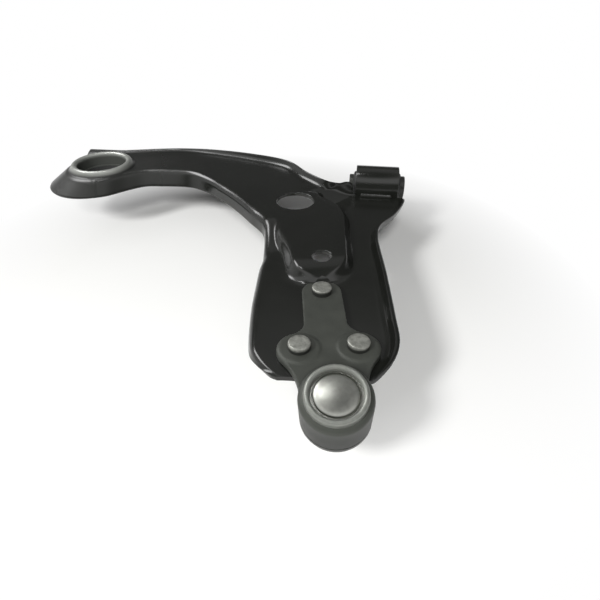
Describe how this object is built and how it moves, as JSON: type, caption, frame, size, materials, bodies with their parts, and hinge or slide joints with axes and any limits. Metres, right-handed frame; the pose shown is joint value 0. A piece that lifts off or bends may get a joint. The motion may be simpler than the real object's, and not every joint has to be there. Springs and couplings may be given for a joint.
{
  "type": "suspension control arm",
  "caption": "L-shaped pressed-steel suspension control arm with a welded front bush, a collared rear bush and a riveted ball joint with a clamped stud.",
  "frame": {"origin": "centre of the front bush, on its bolt axis", "axes": "+X along the front bush's bolt axis, away from the rear bush; +Y inboard, away from the ball joint; +Z to the closed side of the ball joint"},
  "size_m": [0.4018, 0.3893, 0.0795],
  "materials": {
    "black_coat": "gloss black electrophoretic coat on pressed steel",
    "grey_phosphate": "dark grey phosphate on forged steel",
    "bright_steel": "bare satin steel",
    "rubber": "matt black rubber",
    "race_plastic": "natural acetal"
  },
  "bodies": {
    "arm": {"arm_pressing": "black_coat", "front_bush_tube": "black_coat", "front_weld_upper": "black_coat", "front_weld_lower": "black_coat", "front_bush_outer_sleeve": "bright_steel", "front_bush_rubber": "rubber", "rear_bush_shell": "bright_steel", "rear_bush_rubber": "rubber", "ball_joint_housing": "grey_phosphate", "ball_seat": "race_plastic", "closing_cap": "bright_steel", "dust_boot": "rubber", "boot_housing_ring": "bright_steel", "tail_rivet": "bright_steel", "left_rivet": "bright_steel", "right_rivet": "bright_steel"},
    "front_sleeve": {"front_bush_inner_sleeve": "bright_steel"},
    "rear_sleeve": {"rear_bush_inner_sleeve": "bright_steel"},
    "stud_ring": {"boot_stud_ring": "bright_steel"},
    "stud": {"ball_stud": "bright_steel"}
  },
  "joints": [
    {"name": "front_bush_twist", "type": "hinge", "parent": "arm", "child": "front_sleeve", "pos_m": [0, 0, 0], "axis": [1, 0, 0], "range_deg": [-15, 15], "stiffness_Nm_per_rad": 80},
    {"name": "rear_bush_tilt", "type": "hinge", "parent": "arm", "child": "rear_sleeve", "pos_m": [-0.314, 0, -0.0085], "axis": [1, 0, 0], "range_deg": [-15, 15], "deforming": ["rear_bush_rubber"]},
    {"name": "stud_swing", "type": "hinge", "parent": "arm", "child": "stud_ring", "pos_m": [-0.02521, -0.30187, -0.006], "axis": [0.9855, 0.1614, 0.0523], "range_deg": [-20, 20], "deforming": ["dust_boot"]},
    {"name": "stud_spin", "type": "hinge", "parent": "stud_ring", "child": "stud", "pos_m": [-0.02521, -0.30187, -0.006], "axis": [-0.0116, -0.2436, 0.9698], "range_deg": [-45, 45]}
  ],
  "couplings": [
    {"joint": "rear_bush_tilt", "follows": "front_bush_twist", "ratio": 1}
  ]
}
